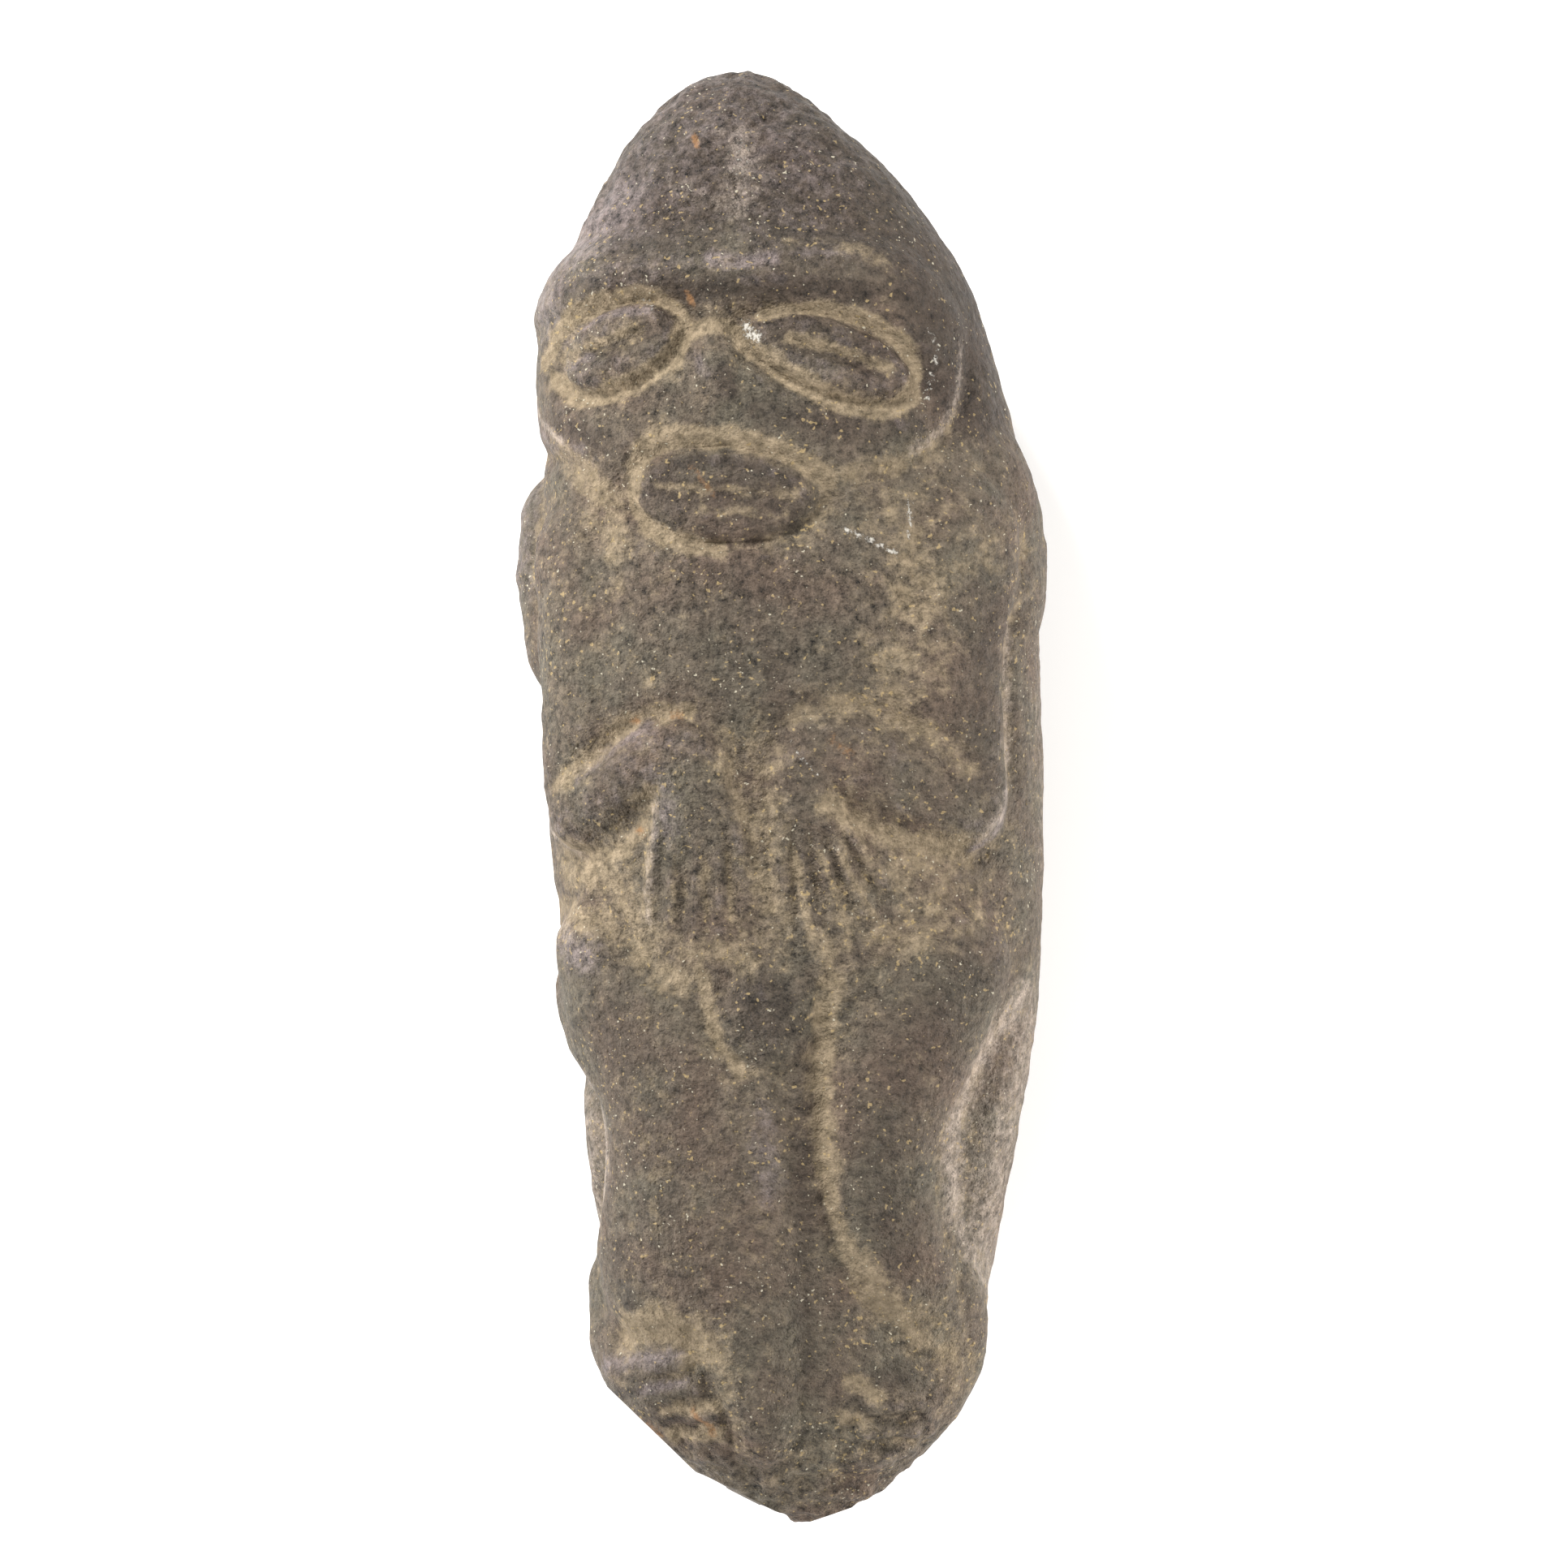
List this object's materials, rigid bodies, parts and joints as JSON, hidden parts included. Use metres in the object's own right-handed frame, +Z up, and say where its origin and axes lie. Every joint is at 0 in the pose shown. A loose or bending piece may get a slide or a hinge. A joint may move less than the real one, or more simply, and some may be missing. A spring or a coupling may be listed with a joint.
{
  "type": "figural stone celt",
  "caption": "Carved stone celt in the shape of a crouching figure with bean-shaped eyes and mouth, folded arms, hanging hands and drawn-up legs, lying on its back.",
  "frame": {"origin": "bottom centre of the bounding box, on the worn flat of the back that the stone lies on", "axes": "+Z up out of the carved front, +Y towards the crown of the figure's head, +X towards the viewer's right when looking down on the face"},
  "size_m": [0.0882, 0.24, 0.0634],
  "materials": {
    "weathered_stone": null
  },
  "bodies": {
    "root": {"figural_celt": "weathered_stone"}
  },
  "joints": []
}
